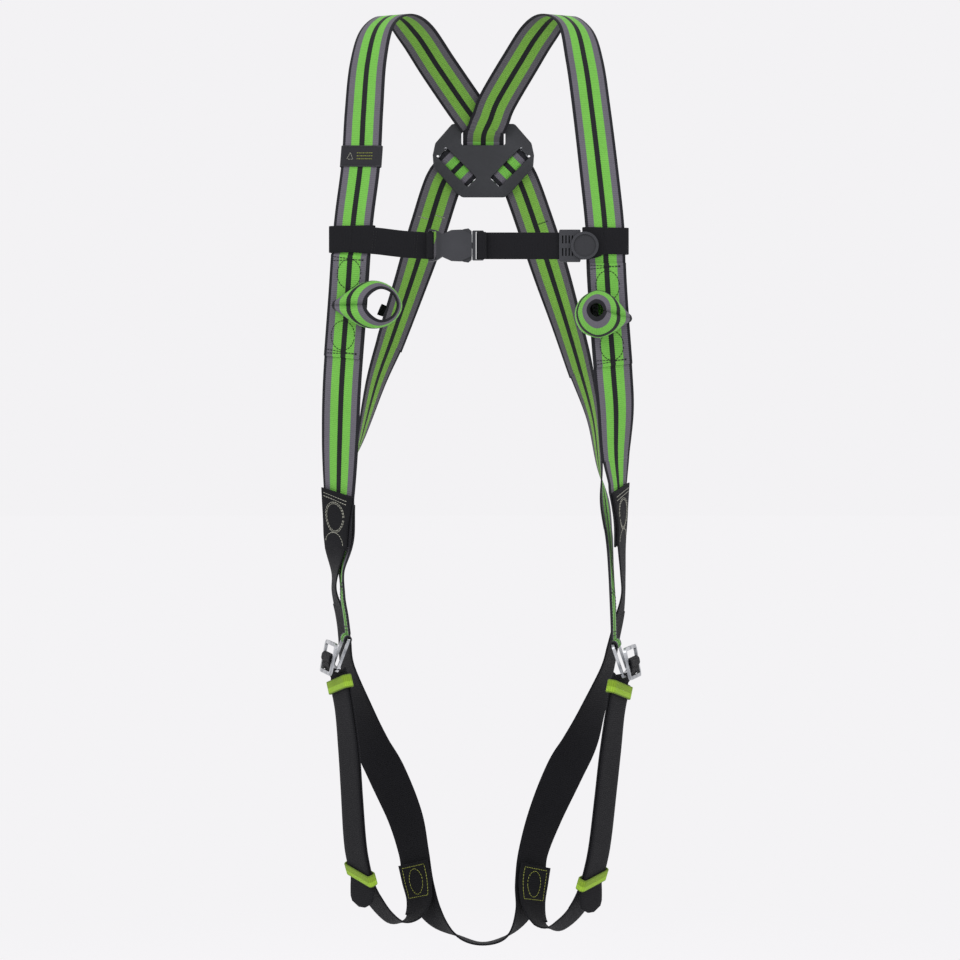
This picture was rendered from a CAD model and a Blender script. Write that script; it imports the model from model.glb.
"""Visual model of a full body fall-arrest harness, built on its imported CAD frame.

Lengths inside the classes are in millimetres, in the frame of the CAD model: +X is the wearer's
left, +Y points to the wearer's back and +Z is up. Meshes are turned to metres as they are made.
"""
import logging
import math
from dataclasses import dataclass, field
from enum import Enum
from typing import Optional, Sequence, Union

import bpy
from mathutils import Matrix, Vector


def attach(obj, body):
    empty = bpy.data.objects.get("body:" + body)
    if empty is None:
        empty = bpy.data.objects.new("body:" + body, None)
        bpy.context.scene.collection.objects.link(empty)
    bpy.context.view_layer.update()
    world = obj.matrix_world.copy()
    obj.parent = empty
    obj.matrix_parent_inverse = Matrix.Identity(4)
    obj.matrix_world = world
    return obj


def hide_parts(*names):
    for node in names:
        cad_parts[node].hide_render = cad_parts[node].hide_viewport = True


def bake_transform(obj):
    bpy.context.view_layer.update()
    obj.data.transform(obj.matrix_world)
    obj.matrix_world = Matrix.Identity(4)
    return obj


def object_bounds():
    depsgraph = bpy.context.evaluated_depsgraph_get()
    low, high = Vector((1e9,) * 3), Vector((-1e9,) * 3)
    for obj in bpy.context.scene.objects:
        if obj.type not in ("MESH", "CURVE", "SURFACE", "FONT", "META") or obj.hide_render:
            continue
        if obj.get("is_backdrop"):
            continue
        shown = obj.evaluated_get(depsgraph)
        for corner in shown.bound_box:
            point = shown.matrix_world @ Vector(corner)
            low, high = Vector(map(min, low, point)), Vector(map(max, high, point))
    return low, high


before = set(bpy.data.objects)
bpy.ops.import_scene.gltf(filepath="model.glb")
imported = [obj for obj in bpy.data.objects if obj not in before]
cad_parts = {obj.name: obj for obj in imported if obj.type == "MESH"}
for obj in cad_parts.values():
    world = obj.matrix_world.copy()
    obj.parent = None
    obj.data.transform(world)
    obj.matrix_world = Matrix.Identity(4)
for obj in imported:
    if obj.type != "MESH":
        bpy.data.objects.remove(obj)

LOG = logging.getLogger("harness")
MM = 0.001
WEB_WIDTH = 45.0
WEB_THICK = 2.2
CHEST_WIDTH = 30.0
CHEST_THICK = 1.6
LAYER_GAP = 0.4
STATION_STEP = 4.0
SLANT_LIMIT = 0.3

Row = tuple[tuple[float, float, float], tuple[float, float, float]]
Path = list[tuple[Vector, Vector]]
Value = Union[float, int, str, tuple, bpy.types.NodeSocket]

# ---- routes: centre of the webbing and the direction across it ----------------------------
FRONT_LEFT: list[Row] = [
    ((-162, -47, -606), (0.58, -0.81, 0)), ((-161, -53, -578), (0.66, -0.75, 0)),
    ((-160, -62, -545), (0.79, -0.61, 0)), ((-158, -82, -485), (0.93, -0.36, 0)),
    ((-155, -100, -421), (0.97, -0.24, 0)), ((-148, -113, -332), (0.98, -0.20, 0)),
    ((-142, -114, -248), (0.98, -0.18, 0)), ((-134, -106, -180), (0.98, -0.18, 0)),
    ((-131, -88, -118), (0.97, -0.22, 0)), ((-127, -62, -59), (0.93, -0.30, 0.1)),
    ((-117, -34, -16), (0.86, -0.42, 0.1)), ((-96, 0, 1.5), (0.82, -0.56, 0)),
]
BACK_RIGHT: list[Row] = [
    ((-74, 32, -15), (0.86, -0.36, 0.36)), ((-49, 60, -50), (0.85, -0.25, 0.43)),
    ((-20, 84, -90), (0.86, -0.2, 0.46)), ((-4, 92.5, -111), (0.95, -0.1, 0.3)),
    ((3, 96.5, -121), (1, 0, 0)), ((4, 104.4, -129.9), (1, 0, 0)),
    ((4, 110.5, -132.2), (1, 0, 0)), ((4, 116.8, -136.2), (1, 0, 0)),
    ((4.5, 120, -142.8), (1, 0, 0)), ((7, 119.6, -150), (1, 0, 0)),
    ((19, 114.5, -158), (1, 0, 0.1)), ((35, 107, -165.5), (0.7, 0, 0.7)),
    ((47, 109, -180), (0.78, 0, 0.6)), ((67, 109.5, -235), (0.93, 0, 0.36)),
    ((83, 105, -285), (0.88, -0.3, 0.33)), ((100, 92, -340), (0.74, -0.58, 0.3)),
    ((117, 68, -400), (0.58, -0.76, 0.2)), ((132, 36, -460), (0.3, -0.93, 0.1)),
    ((138, 0, -517), (0.1, -1, 0)), ((143, -26, -560), (-0.25, -0.97, 0)),
    ((147.5, -43, -604), (-0.17, -0.98, 0)), ((149.5, -50, -640), (-0.14, -0.99, 0)),
    ((151, -56, -672), (-0.15, -0.99, 0)), ((151.8, -60.4, -696), (-0.15, -0.99, 0)),
    ((152.2, -61, -715.4), (-0.15, -0.99, 0)),
]
FRONT_RIGHT: list[Row] = [
    ((158, -47, -606), (0.22, 0.98, 0)), ((158.5, -53, -578), (0.28, 0.96, 0)),
    ((156.5, -62, -542), (0.46, 0.89, 0)), ((153.5, -76, -505), (0.72, 0.69, 0)),
    ((153, -92, -455), (0.92, 0.39, 0)), ((150, -101, -415), (0.97, 0.24, 0)),
    ((145, -111, -355), (0.98, 0.20, 0)), ((141.5, -114, -300), (0.98, 0.18, 0)),
    ((140, -114, -251), (0.98, 0.18, 0)), ((134, -107, -190), (0.98, 0.18, 0)),
    ((126, -88, -116), (0.97, 0.22, 0)), ((119, -62, -59), (0.93, 0.30, 0.1)),
    ((109, -34, -16), (0.86, 0.42, -0.1)), ((88, 0, 1.5), (0.82, 0.56, 0)),
]
BACK_LEFT: list[Row] = [
    ((68, 30, -15), (0.86, 0.36, -0.36)), ((47, 52, -46), (0.85, 0.25, -0.43)),
    ((21, 75, -88), (0.86, 0.2, -0.46)), ((12, 85, -110), (0.95, 0.1, -0.3)),
    ((5, 93, -124.5), (1, 0, 0)), ((4, 102.3, -132.8), (1, 0, 0)),
    ((4, 107, -135.3), (1, 0, 0)), ((4, 111.8, -137.2), (1, 0, 0)),
    ((3.5, 115.8, -142.5), (1, 0, 0)), ((1, 115, -150), (1, 0, 0)),
    ((-11, 110.5, -158), (1, 0, -0.1)), ((-27, 107, -165.5), (0.7, 0, -0.7)),
    ((-43, 109, -181), (0.78, 0, -0.6)), ((-62, 109.5, -238), (0.93, 0.15, -0.30)),
    ((-82, 103, -300), (0.80, 0.50, -0.28)), ((-105, 84, -369), (0.66, 0.72, -0.2)),
    ((-122, 58, -420), (0.46, 0.88, -0.1)), ((-138, 22, -484), (0.15, 0.98, 0)),
    ((-149, -8, -525), (-0.2, 0.98, 0)), ((-155, -32, -565), (-0.5, 0.86, 0)),
    ((-157, -44, -604), (-0.60, 0.80, 0)), ((-157.5, -49, -640), (-0.15, 0.99, 0)),
    ((-156, -56, -668), (-0.13, 0.99, 0)), ((-152.6, -60.4, -690), (-0.15, 0.99, 0)),
    ((-150.2, -61, -709.2), (-0.15, 0.99, 0)),
]
SUB_PELVIC: list[Row] = [
    ((-162.5, -66, -548), (0.79, -0.61, 0)), ((-164.4, -55.4, -578), (0.66, -0.75, 0)),
    ((-165, -48.9, -608), (0.57, -0.82, 0)), ((-166, -33, -640), (0.2, -0.98, 0)),
    ((-167.5, -14.5, -662), (0.15, -0.99, 0)), ((-160.5, -1.5, -690), (0.28, -0.96, 0)),
    ((-156.5, 2, -715), (0.33, -0.94, 0)), ((-153.5, 7, -747), (0.38, -0.92, 0)),
    ((-139, 14, -798), (0.62, -0.75, 0.2)), ((-125.8, 20, -839), (0.82, -0.45, 0.35)),
    ((-108, 28, -876), (0.91, -0.15, 0.38)), ((-87.5, 27, -924), (0.88, -0.38, 0.25)),
    ((-77, 25, -966), (0.78, -0.60, 0.15)), ((-70, 22.5, -1006), (0.75, -0.62, 0.2)),
    ((-52, 14, -1040), (0.45, -0.86, 0.3)), ((-24, 8, -1062), (0.05, -0.99, 0.06)),
    ((3, 6, -1070), (0, -1, 0.08)), ((30, 8, -1062), (-0.05, -0.99, 0.06)),
    ((49, 14, -1037), (-0.40, -0.88, 0.2)), ((57.5, 22, -1004), (-0.74, -0.62, 0.1)),
    ((61.5, 25, -968), (-0.76, -0.62, 0.05)), ((76.5, 27, -922), (-0.87, -0.42, 0.25)),
    ((98.5, 28, -872), (-0.89, -0.15, 0.42)), ((115.6, 20, -839), (-0.82, -0.42, 0.36)),
    ((129, 14, -804), (-0.64, -0.72, 0.22)), ((147, 8, -752), (-0.38, -0.92, 0)),
    ((154, 3, -722), (-0.3, -0.95, 0)), ((160, -2, -695), (-0.25, -0.97, 0)),
    ((164.5, -15, -666), (-0.12, -0.99, 0)), ((163.5, -33, -640), (-0.15, -0.99, 0)),
    ((161.6, -48, -608), (-0.22, -0.98, 0)), ((162.1, -54.3, -578), (-0.28, -0.96, 0)),
    ((159.9, -64, -543), (-0.46, -0.89, 0)),
]
LEG_LEFT: list[Row] = [
    ((-78, 20.6, -978), (0.77, -0.62, 0.2)), ((-73.5, 18.5, -998), (0.75, -0.62, 0.1)),
    ((-70.5, 14, -1020), (0.62, -0.78, 0)), ((-76, 6, -1037), (0.35, -0.92, 0)),
    ((-88, -4, -1043.5), (0.1, -0.97, 0.1)), ((-104, -14, -1037), (0.15, -0.9, 0.35)),
    ((-120.5, -28, -1016), (0.38, -0.86, 0.2)), ((-131.5, -42, -993), (0.5, -0.86, 0)),
    ((-137.5, -54, -968), (0.52, -0.85, 0)), ((-141, -63, -940), (0.52, -0.85, 0)),
    ((-144, -73, -888), (0.5, -0.86, 0)), ((-147, -79, -838), (0.5, -0.87, 0)),
    ((-152, -79, -792), (0.45, -0.89, 0)), ((-159, -75, -757), (0.47, -0.88, 0)),
]
LEG_RIGHT: list[Row] = [
    ((65, 20.6, -981), (-0.76, -0.62, 0.1)), ((62, 18, -1000), (-0.74, -0.62, 0.05)),
    ((61.5, 13, -1024), (-0.60, -0.80, 0)), ((66.5, 5, -1042), (-0.35, -0.92, 0)),
    ((77, -4, -1050), (-0.1, -0.97, 0.1)), ((92, -14, -1046), (-0.15, -0.9, 0.35)),
    ((109.5, -28, -1028), (-0.38, -0.86, 0.2)), ((123, -42, -1000), (-0.5, -0.86, 0)),
    ((130.5, -54, -972), (-0.51, -0.86, 0)), ((135.5, -63, -942), (-0.51, -0.86, 0)),
    ((141, -73, -890), (-0.5, -0.86, 0)), ((146, -79, -842), (-0.5, -0.87, 0)),
    ((151.5, -79, -797), (-0.45, -0.89, 0)), ((158, -75, -763), (-0.47, -0.88, 0)),
]


class Side(Enum):
    """The two sides of the harness as the wearer's front is faced, with their signs along X."""

    LEFT = -1.0
    RIGHT = 1.0

    @property
    def word(self) -> str:
        """Return the side's name as it ends a piece's name."""
        return self.name.lower()


class Face(Enum):
    """The faces of webbing, by the sign along its stations' normals."""

    NORMAL = 1.0
    REVERSE = -1.0


# ---- colour and nodes ---------------------------------------------------------------------
def linear(code: str, alpha: float = 1.0) -> tuple[float, float, float, float]:
    """Turn an sRGB hex colour into linear values.

    Args:
        code: Colour as "#RRGGBB".
        alpha: Fourth value.

    Returns:
        Red, green, blue and alpha, 0 to 1.
    """
    values = []
    for start in (1, 3, 5):
        share = int(code[start:start + 2], 16) / 255
        values.append(share / 12.92 if share <= 0.04045 else ((share + 0.055) / 1.055) ** 2.4)
    return values[0], values[1], values[2], alpha


def add(tree: bpy.types.NodeTree, kind: str, inputs: Optional[dict[Union[str, int], Value]] = None,
        **settings: Value) -> bpy.types.Node:
    """Add one node with its settings and links.

    Args:
        tree: Node tree.
        kind: Blender's node type.
        inputs: Values by socket name or index; a socket is linked and anything else is set.
        settings: The node's own properties.

    Returns:
        The node.
    """
    made = tree.nodes.new(kind)
    for key, value in settings.items():
        setattr(made, key, value)
    for key, value in (inputs or {}).items():
        if isinstance(value, bpy.types.NodeSocket):
            tree.links.new(value, made.inputs[key])
        else:
            made.inputs[key].default_value = value
    return made


def math_of(tree: bpy.types.NodeTree, operation: str, *values: Value) -> bpy.types.NodeSocket:
    """Return the output of one arithmetic node."""
    return add(tree, "ShaderNodeMath", dict(enumerate(values)), operation=operation).outputs[0]


def blank(name: str) -> tuple[bpy.types.Material, bpy.types.NodeTree, bpy.types.Node]:
    """Make a material that holds an output and a Principled shader.

    Args:
        name: The material's name.

    Returns:
        The material, its node tree and its shader.
    """
    material = bpy.data.materials.new(name)
    material.use_nodes = True
    tree = material.node_tree
    tree.nodes.clear()
    shader = add(tree, "ShaderNodeBsdfPrincipled")
    add(tree, "ShaderNodeOutputMaterial", {"Surface": shader.outputs["BSDF"]})
    return material, tree, shader


def ramp(tree: bpy.types.NodeTree, factor: bpy.types.NodeSocket,
         stops: Sequence[tuple[float, tuple]]) -> bpy.types.NodeSocket:
    """Return the colour that a factor picks from a row of stops.

    Args:
        tree: Node tree.
        factor: Socket that gives 0 to 1.
        stops: Position and colour of each stop, in order.

    Returns:
        The colour socket.
    """
    made = add(tree, "ShaderNodeValToRGB", {"Fac": factor})
    elements = made.color_ramp.elements
    elements[0].position, elements[0].color = stops[0]
    elements[1].position, elements[1].color = stops[-1]
    for position, colour in stops[1:-1]:
        elements.new(position).color = colour
    return made.outputs["Color"]


# ---- finishes -----------------------------------------------------------------------------
@dataclass(frozen=True)
class WovenWebbing:
    """Polyester webbing, needle loomed with dyed warp yarns and a heavy weft.

    The warp covers both faces, so each stripe is one band of dyed yarn; the weft shows only as
    the fine ribs that cross the webbing, which catch the light and break up each colour.
    """

    name: str
    width: float
    stripes: tuple[tuple[float, str], ...]    # far edge of each stripe, as a share, and colour
    rib: float = 2.3          # pitch of the weft ribs, drawn coarser than the real 1.4 mm
    yarn: float = 1.25        # pitch of the warp cords, drawn coarser than the real 0.8 mm
    rough: float = 0.82
    depth: float = 0.34       # height of a rib
    contrast: float = 0.26    # how much darker the hollow between two ribs is
    sheen: float = 0.05       # how much the loose fibres catch light at a glancing angle
    shine: float = 0.22       # specular level of the dyed yarns

    def stops(self) -> list[tuple[float, tuple]]:
        """Return ramp stops with a narrow blend where two stripes meet."""
        found = [(0.0, linear(self.stripes[0][1]))]
        for (edge, colour), (_far, following) in zip(self.stripes, self.stripes[1:]):
            found.append((edge - 0.004, linear(colour)))
            found.append((edge + 0.004, linear(following)))
        found.append((1.0, linear(self.stripes[-1][1])))
        return found

    def build(self) -> bpy.types.Material:
        """Return the material; U runs across and V along the webbing, both in millimetres."""
        material, tree, shader = blank(self.name)
        place = add(tree, "ShaderNodeUVMap", uv_map="web")
        parts = add(tree, "ShaderNodeSeparateXYZ", {0: place.outputs[0]})
        across, along = parts.outputs[0], parts.outputs[1]
        stepped = math_of(tree, "PINGPONG", math_of(tree, "DIVIDE", along, self.rib), 0.5)
        wander = math_of(tree, "MULTIPLY", math_of(tree, "SUBTRACT", stepped, 0.25), 0.9)
        share = math_of(tree, "ADD", math_of(
            tree, "DIVIDE", math_of(tree, "ADD", across, wander), self.width), 0.5)
        colour = ramp(tree, share, self.stops())
        rib = math_of(tree, "SINE", math_of(tree, "MULTIPLY", along, 2 * math.pi / self.rib))
        offset = math_of(tree, "MULTIPLY", math_of(tree, "SIGN", rib), 0.25 * self.yarn)
        cord = math_of(tree, "SINE", math_of(
            tree, "MULTIPLY", math_of(tree, "ADD", across, offset), 2 * math.pi / self.yarn))
        relief = math_of(tree, "ADD", math_of(tree, "MULTIPLY", rib, 0.34),
                         math_of(tree, "MULTIPLY", cord, 0.16))
        height = math_of(tree, "ADD", relief, 0.5)
        fuzz = add(tree, "ShaderNodeTexNoise", {"Vector": place.outputs[0], "Scale": 0.35,
                                                "Detail": 4.0, "Roughness": 0.7})
        soil = add(tree, "ShaderNodeTexNoise", {"Vector": place.outputs[0], "Scale": 0.035,
                                                "Detail": 2.0})
        shade = math_of(tree, "ADD", math_of(tree, "MULTIPLY", height, self.contrast),
                        1.0 - self.contrast * 0.62)
        shade = math_of(tree, "MULTIPLY", shade, math_of(
            tree, "ADD", math_of(tree, "MULTIPLY", fuzz.outputs["Fac"], 0.22), 0.89))
        shade = math_of(tree, "MULTIPLY", shade, math_of(
            tree, "ADD", math_of(tree, "MULTIPLY", soil.outputs["Fac"], 0.16), 0.92))
        grey = add(tree, "ShaderNodeCombineColor", {0: shade, 1: shade, 2: shade})
        mixed = add(tree, "ShaderNodeMix", {0: 1.0, 6: colour, 7: grey.outputs[0]},
                    data_type="RGBA", blend_type="MULTIPLY")
        relief_map = add(tree, "ShaderNodeBump", {
            "Strength": 0.75, "Distance": self.depth * MM,
            "Height": math_of(tree, "ADD", height, math_of(
                tree, "MULTIPLY", fuzz.outputs["Fac"], 0.35))})
        tree.links.new(mixed.outputs[2], shader.inputs["Base Color"])
        tree.links.new(relief_map.outputs[0], shader.inputs["Normal"])
        shader.inputs["Roughness"].default_value = self.rough
        shader.inputs["Specular IOR Level"].default_value = self.shine
        shader.inputs["Sheen Weight"].default_value = self.sheen
        shader.inputs["Sheen Roughness"].default_value = 0.45
        return material


@dataclass(frozen=True)
class MouldedNylon:
    """Glass-filled nylon, injection moulded in a spark-eroded tool.

    The tool leaves a fine even grain, so light spreads softly, and handling polishes the edges,
    which look a little paler and glossier than the flats.
    """

    name: str = "glass_filled_nylon_moulded"
    colour: str = "#26272C"
    worn: str = "#4A4B51"
    grain: float = 1.1        # spark grain in millimetres, drawn coarser than the real 0.1 mm
    rough: float = 0.52

    def build(self) -> bpy.types.Material:
        """Return the material."""
        material, tree, shader = blank(self.name)
        place = add(tree, "ShaderNodeTexCoord").outputs["Object"]
        grain = add(tree, "ShaderNodeTexNoise", {"Vector": place, "Scale": 1000 / self.grain,
                                                 "Detail": 3.0, "Roughness": 0.6})
        cloud = add(tree, "ShaderNodeTexNoise", {"Vector": place, "Scale": 38.0, "Detail": 3.0})
        edge = add(tree, "ShaderNodeNewGeometry").outputs["Pointiness"]
        wear = ramp(tree, edge, [(0.0, linear("#000000")), (0.52, linear("#000000")),
                                 (0.62, linear("#B0B0B0")), (1.0, linear("#D0D0D0"))])
        amount = math_of(tree, "MULTIPLY", add(tree, "ShaderNodeSeparateColor",
                                               {0: wear}).outputs[0], cloud.outputs["Fac"])
        base = add(tree, "ShaderNodeMix", {0: amount, 6: linear(self.colour),
                                           7: linear(self.worn)}, data_type="RGBA")
        rough = math_of(tree, "ADD", math_of(tree, "MULTIPLY", cloud.outputs["Fac"], 0.16),
                        self.rough - 0.08)
        bump = add(tree, "ShaderNodeBump", {"Strength": 0.35, "Distance": 0.12 * MM,
                                            "Height": grain.outputs["Fac"]})
        tree.links.new(base.outputs[2], shader.inputs["Base Color"])
        tree.links.new(rough, shader.inputs["Roughness"])
        tree.links.new(bump.outputs[0], shader.inputs["Normal"])
        shader.inputs["IOR"].default_value = 1.53
        shader.inputs["Specular IOR Level"].default_value = 0.36
        return material


@dataclass(frozen=True)
class PlatedSteel:
    """Pressed and forged steel with bright zinc plating.

    Tumbling before plating leaves short fine scratches in every direction and the zinc gives a
    satin, slightly cloudy grey that is duller in its hollows.
    """

    name: str = "zinc_plated_steel"
    colour: str = "#C6C8CB"
    dull: str = "#84878C"
    scratch: float = 1.6      # length of a tumbling scratch in millimetres
    rough: float = 0.34

    def build(self) -> bpy.types.Material:
        """Return the material."""
        material, tree, shader = blank(self.name)
        place = add(tree, "ShaderNodeTexCoord").outputs["Object"]
        cloud = add(tree, "ShaderNodeTexNoise", {"Vector": place, "Scale": 60.0, "Detail": 5.0})
        scratch = add(tree, "ShaderNodeTexNoise", {
            "Vector": place, "Scale": 1000 / self.scratch, "Detail": 5.0, "Roughness": 0.75})
        tone = ramp(tree, cloud.outputs["Fac"], [(0.0, linear(self.dull)),
                                                 (0.35, linear(self.dull)),
                                                 (0.62, linear(self.colour)),
                                                 (1.0, linear(self.colour))])
        rough = math_of(tree, "ADD", math_of(tree, "MULTIPLY", scratch.outputs["Fac"], 0.22),
                        self.rough - 0.11)
        bump = add(tree, "ShaderNodeBump", {"Strength": 0.3, "Distance": 0.05 * MM,
                                            "Height": scratch.outputs["Fac"]})
        tree.links.new(tone, shader.inputs["Base Color"])
        tree.links.new(rough, shader.inputs["Roughness"])
        tree.links.new(bump.outputs[0], shader.inputs["Normal"])
        shader.inputs["Metallic"].default_value = 1.0
        return material


@dataclass(frozen=True)
class SewingThread:
    """Bonded polyester sewing thread, twisted from three plies.

    The bond gives each stitch a small waxy highlight, and the plies show as slanting lines.
    """

    name: str
    colour: str
    ply: float = 0.8          # pitch of the twist in millimetres

    def build(self) -> bpy.types.Material:
        """Return the material."""
        material, tree, shader = blank(self.name)
        place = add(tree, "ShaderNodeTexCoord").outputs["Object"]
        twist = add(tree, "ShaderNodeTexWave", {"Vector": place, "Scale": 1000 / self.ply / 6.3,
                                                "Distortion": 1.5}, bands_direction="DIAGONAL")
        tone = ramp(tree, twist.outputs["Fac"], [
            (0.0, tuple(0.55 * c for c in linear(self.colour))[:3] + (1.0,)),
            (1.0, linear(self.colour))])
        bump = add(tree, "ShaderNodeBump", {"Strength": 0.4, "Distance": 0.1 * MM,
                                            "Height": twist.outputs["Fac"]})
        tree.links.new(tone, shader.inputs["Base Color"])
        tree.links.new(bump.outputs[0], shader.inputs["Normal"])
        shader.inputs["Roughness"].default_value = 0.48
        shader.inputs["Specular IOR Level"].default_value = 0.35
        return material


@dataclass(frozen=True)
class StudioPaper:
    """Seamless pale paper, which glows evenly far off and takes a faint shadow near by."""

    name: str = "pale_studio_paper"
    colour: str = "#F4F3F5"
    reach: float = 1.3        # metres over which the shadow fades out

    def build(self) -> bpy.types.Material:
        """Return the material."""
        material, tree, shader = blank(self.name)
        place = add(tree, "ShaderNodeTexCoord").outputs["Object"]
        flat = add(tree, "ShaderNodeVectorMath", {0: place, 1: (1.0, 1.0, 0.0)},
                   operation="MULTIPLY")
        radius = add(tree, "ShaderNodeVectorMath", {0: flat.outputs[0]}, operation="LENGTH")
        fade = add(tree, "ShaderNodeMapRange", {
            "Value": radius.outputs["Value"], "From Min": 0.35, "From Max": self.reach,
            "To Min": 0.55, "To Max": 1.0})
        fibre = add(tree, "ShaderNodeTexNoise", {"Vector": place, "Scale": 240.0})
        bump = add(tree, "ShaderNodeBump", {"Strength": 0.05, "Distance": 0.1 * MM,
                                            "Height": fibre.outputs["Fac"]})
        shader.inputs["Base Color"].default_value = linear(self.colour)
        shader.inputs["Roughness"].default_value = 0.9
        tree.links.new(bump.outputs[0], shader.inputs["Normal"])
        glow = add(tree, "ShaderNodeEmission", {"Color": linear(self.colour), "Strength": 1.0})
        mixed = add(tree, "ShaderNodeMixShader", {0: fade.outputs[0], 1: shader.outputs[0],
                                                  2: glow.outputs[0]})
        sink = next(n for n in tree.nodes if n.type == "OUTPUT_MATERIAL")
        tree.links.new(mixed.outputs[0], sink.inputs["Surface"])
        return material


def stripes(edge: str, grey: str, green: str, middle: str) -> tuple[tuple[float, str], ...]:
    """Return the harness webbing's seven stripes, mirrored about its centre."""
    return ((0.075, edge), (0.225, grey), (0.43, green), (0.565, middle), (0.77, green),
            (0.92, grey), (1.0, edge))


class Finish(Enum):
    """Every surface of the harness, with the finish it is made in."""

    OUTER = WovenWebbing("polyester_webbing_striped_outer", WEB_WIDTH,
                         stripes("#1F1F24", "#66636C", "#72B84C", "#1E1E22"))
    INNER = WovenWebbing("polyester_webbing_striped_inner", WEB_WIDTH,
                         stripes("#1F1F23", "#5B595F", "#74A844", "#1D1E21"))
    BLACK = WovenWebbing("polyester_webbing_black", WEB_WIDTH, ((0.5, "#1B1B1E"),
                         (1.0, "#1B1B1E")), contrast=0.34, shine=0.08)
    CHEST = WovenWebbing("polyester_webbing_black_narrow", CHEST_WIDTH, ((0.5, "#1D1D20"),
                         (1.0, "#1D1D20")), rib=1.7, yarn=1.0, depth=0.2, contrast=0.2,
                         shine=0.1)
    LABEL = WovenWebbing("woven_label_black", 25.0, ((0.06, "#3A3A3E"), (0.94, "#2B2B2F"),
                         (1.0, "#3A3A3E")), rib=1.2, yarn=1.0, depth=0.12, contrast=0.16)
    LIME = WovenWebbing("knitted_elastic_lime", 15.0, ((0.1, "#6F8A2E"), (0.46, "#96BC38"),
                        (0.9, "#809F2C"), (1.0, "#6F8A2E")), rib=1.9, yarn=1.6, depth=0.45,
                        contrast=0.3)
    NYLON = MouldedNylon()
    STEEL = PlatedSteel()
    DARK_THREAD = SewingThread("bonded_thread_black", "#1B1B1E")
    GREY_THREAD = SewingThread("bonded_thread_grey", "#A3A396")
    OLIVE_THREAD = SewingThread("bonded_thread_olive", "#A3A94A")
    PAPER = StudioPaper()

    def material(self) -> bpy.types.Material:
        """Return the finish's material, made once."""
        return bpy.data.materials.get(self.value.name) or self.value.build()


# ---- webbing geometry ---------------------------------------------------------------------
@dataclass(frozen=True)
class Station:
    """One cross-section of webbing: its centre and three unit vectors."""

    centre: Vector
    across: Vector
    normal: Vector
    along: Vector

    def at(self, x: float, y: float, z: float) -> Vector:
        """Return a point given across, along the normal and along the webbing."""
        return self.centre + self.across * x + self.normal * y + self.along * z

    def moved(self, offset: float) -> "Station":
        """Return the station moved along its normal."""
        return Station(self.centre + self.normal * offset, self.across, self.normal, self.along)


def curve_point(rows: Sequence[Vector], index: int, part: float, closed: bool = False) -> Vector:
    """Interpolate four neighbouring rows with a Catmull-Rom curve.

    Args:
        rows: Vectors along the route.
        index: The row at the start of the span.
        part: Share of the span, 0 to 1.
        closed: True if the last row leads back to the first.

    Returns:
        The point on the curve.
    """
    count = len(rows)
    picks = [index - 1, index, index + 1, index + 2]
    if closed:
        a, b, c, d = (rows[k % count] for k in picks)
    else:
        a, b, c, d = (rows[min(max(k, 0), count - 1)] for k in picks)
    two, three = part ** 2, part ** 3
    return (b * 2 + (c - a) * part + (a * 2 - b * 5 + c * 4 - d) * two
            + (b * 3 - a - c * 3 + d) * three) * 0.5


def framed(points: Sequence[Vector], sides: Sequence[Vector]) -> list[Station]:
    """Give a row of centres their across, normal and along vectors.

    Args:
        points: Centres of the webbing.
        sides: Rough directions across it.

    Returns:
        A station for each centre.
    """
    made = []
    for index, centre in enumerate(points):
        before = points[max(index - 1, 0)]
        after = points[min(index + 1, len(points) - 1)]
        along = (after - before).normalized()
        side = sides[index]
        slant = side.dot(along)
        if abs(slant) < SLANT_LIMIT:
            side = side - along * slant
        side = side.normalized()
        made.append(Station(centre, side, along.cross(side), along))
    return made


def stations(route: Sequence[Row], step: float = STATION_STEP) -> list[Station]:
    """Turn a route into closely spaced stations.

    Args:
        route: Rows of a centre and a direction across the webbing.
        step: Greatest distance between two stations.

    Returns:
        The stations, from the route's first row to its last.
    """
    centres = [Vector(row[0]) for row in route]
    across = [Vector(row[1]).normalized() for row in route]
    points, sides = [], []
    for index in range(len(route) - 1):
        count = max(1, math.ceil((centres[index + 1] - centres[index]).length / step))
        for k in range(count):
            points.append(curve_point(centres, index, k / count))
            sides.append(curve_point(across, index, k / count))
    return framed(points + [centres[-1]], sides + [across[-1]])


def at_height(row: Sequence[Station], height: float) -> Station:
    """Return the station whose centre is at a height, interpolated between two."""
    for first, second in zip(row, row[1:]):
        low, high = sorted((first.centre.z, second.centre.z))
        if low <= height <= high and high > low:
            part = (height - first.centre.z) / (second.centre.z - first.centre.z)
            along = (second.centre - first.centre).normalized()
            side = first.across.lerp(second.across, part)
            side = (side - along * side.dot(along)).normalized()
            return Station(first.centre.lerp(second.centre, part), side, along.cross(side), along)
    raise ValueError(f"no station at height {height}")


def span(row: Sequence[Station], low: float, high: float) -> list[Station]:
    """Return the stations between two heights, with one exactly at each."""
    inside = [s for s in row if low + 1.0 < s.centre.z < high - 1.0]
    ends = [at_height(row, low), at_height(row, high)]
    return sorted(inside + ends, key=lambda s: s.centre.z)


def upright(centre: tuple[float, float, float], side: tuple[float, float, float],
            lean: float) -> Station:
    """Return a station with a level across direction and a leaning upward one."""
    along = Vector((-lean, 0, 1)).normalized()
    across = Vector(side).normalized()
    across = (across - along * across.dot(along)).normalized()
    return Station(Vector(centre), across, along.cross(across), along)


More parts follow.
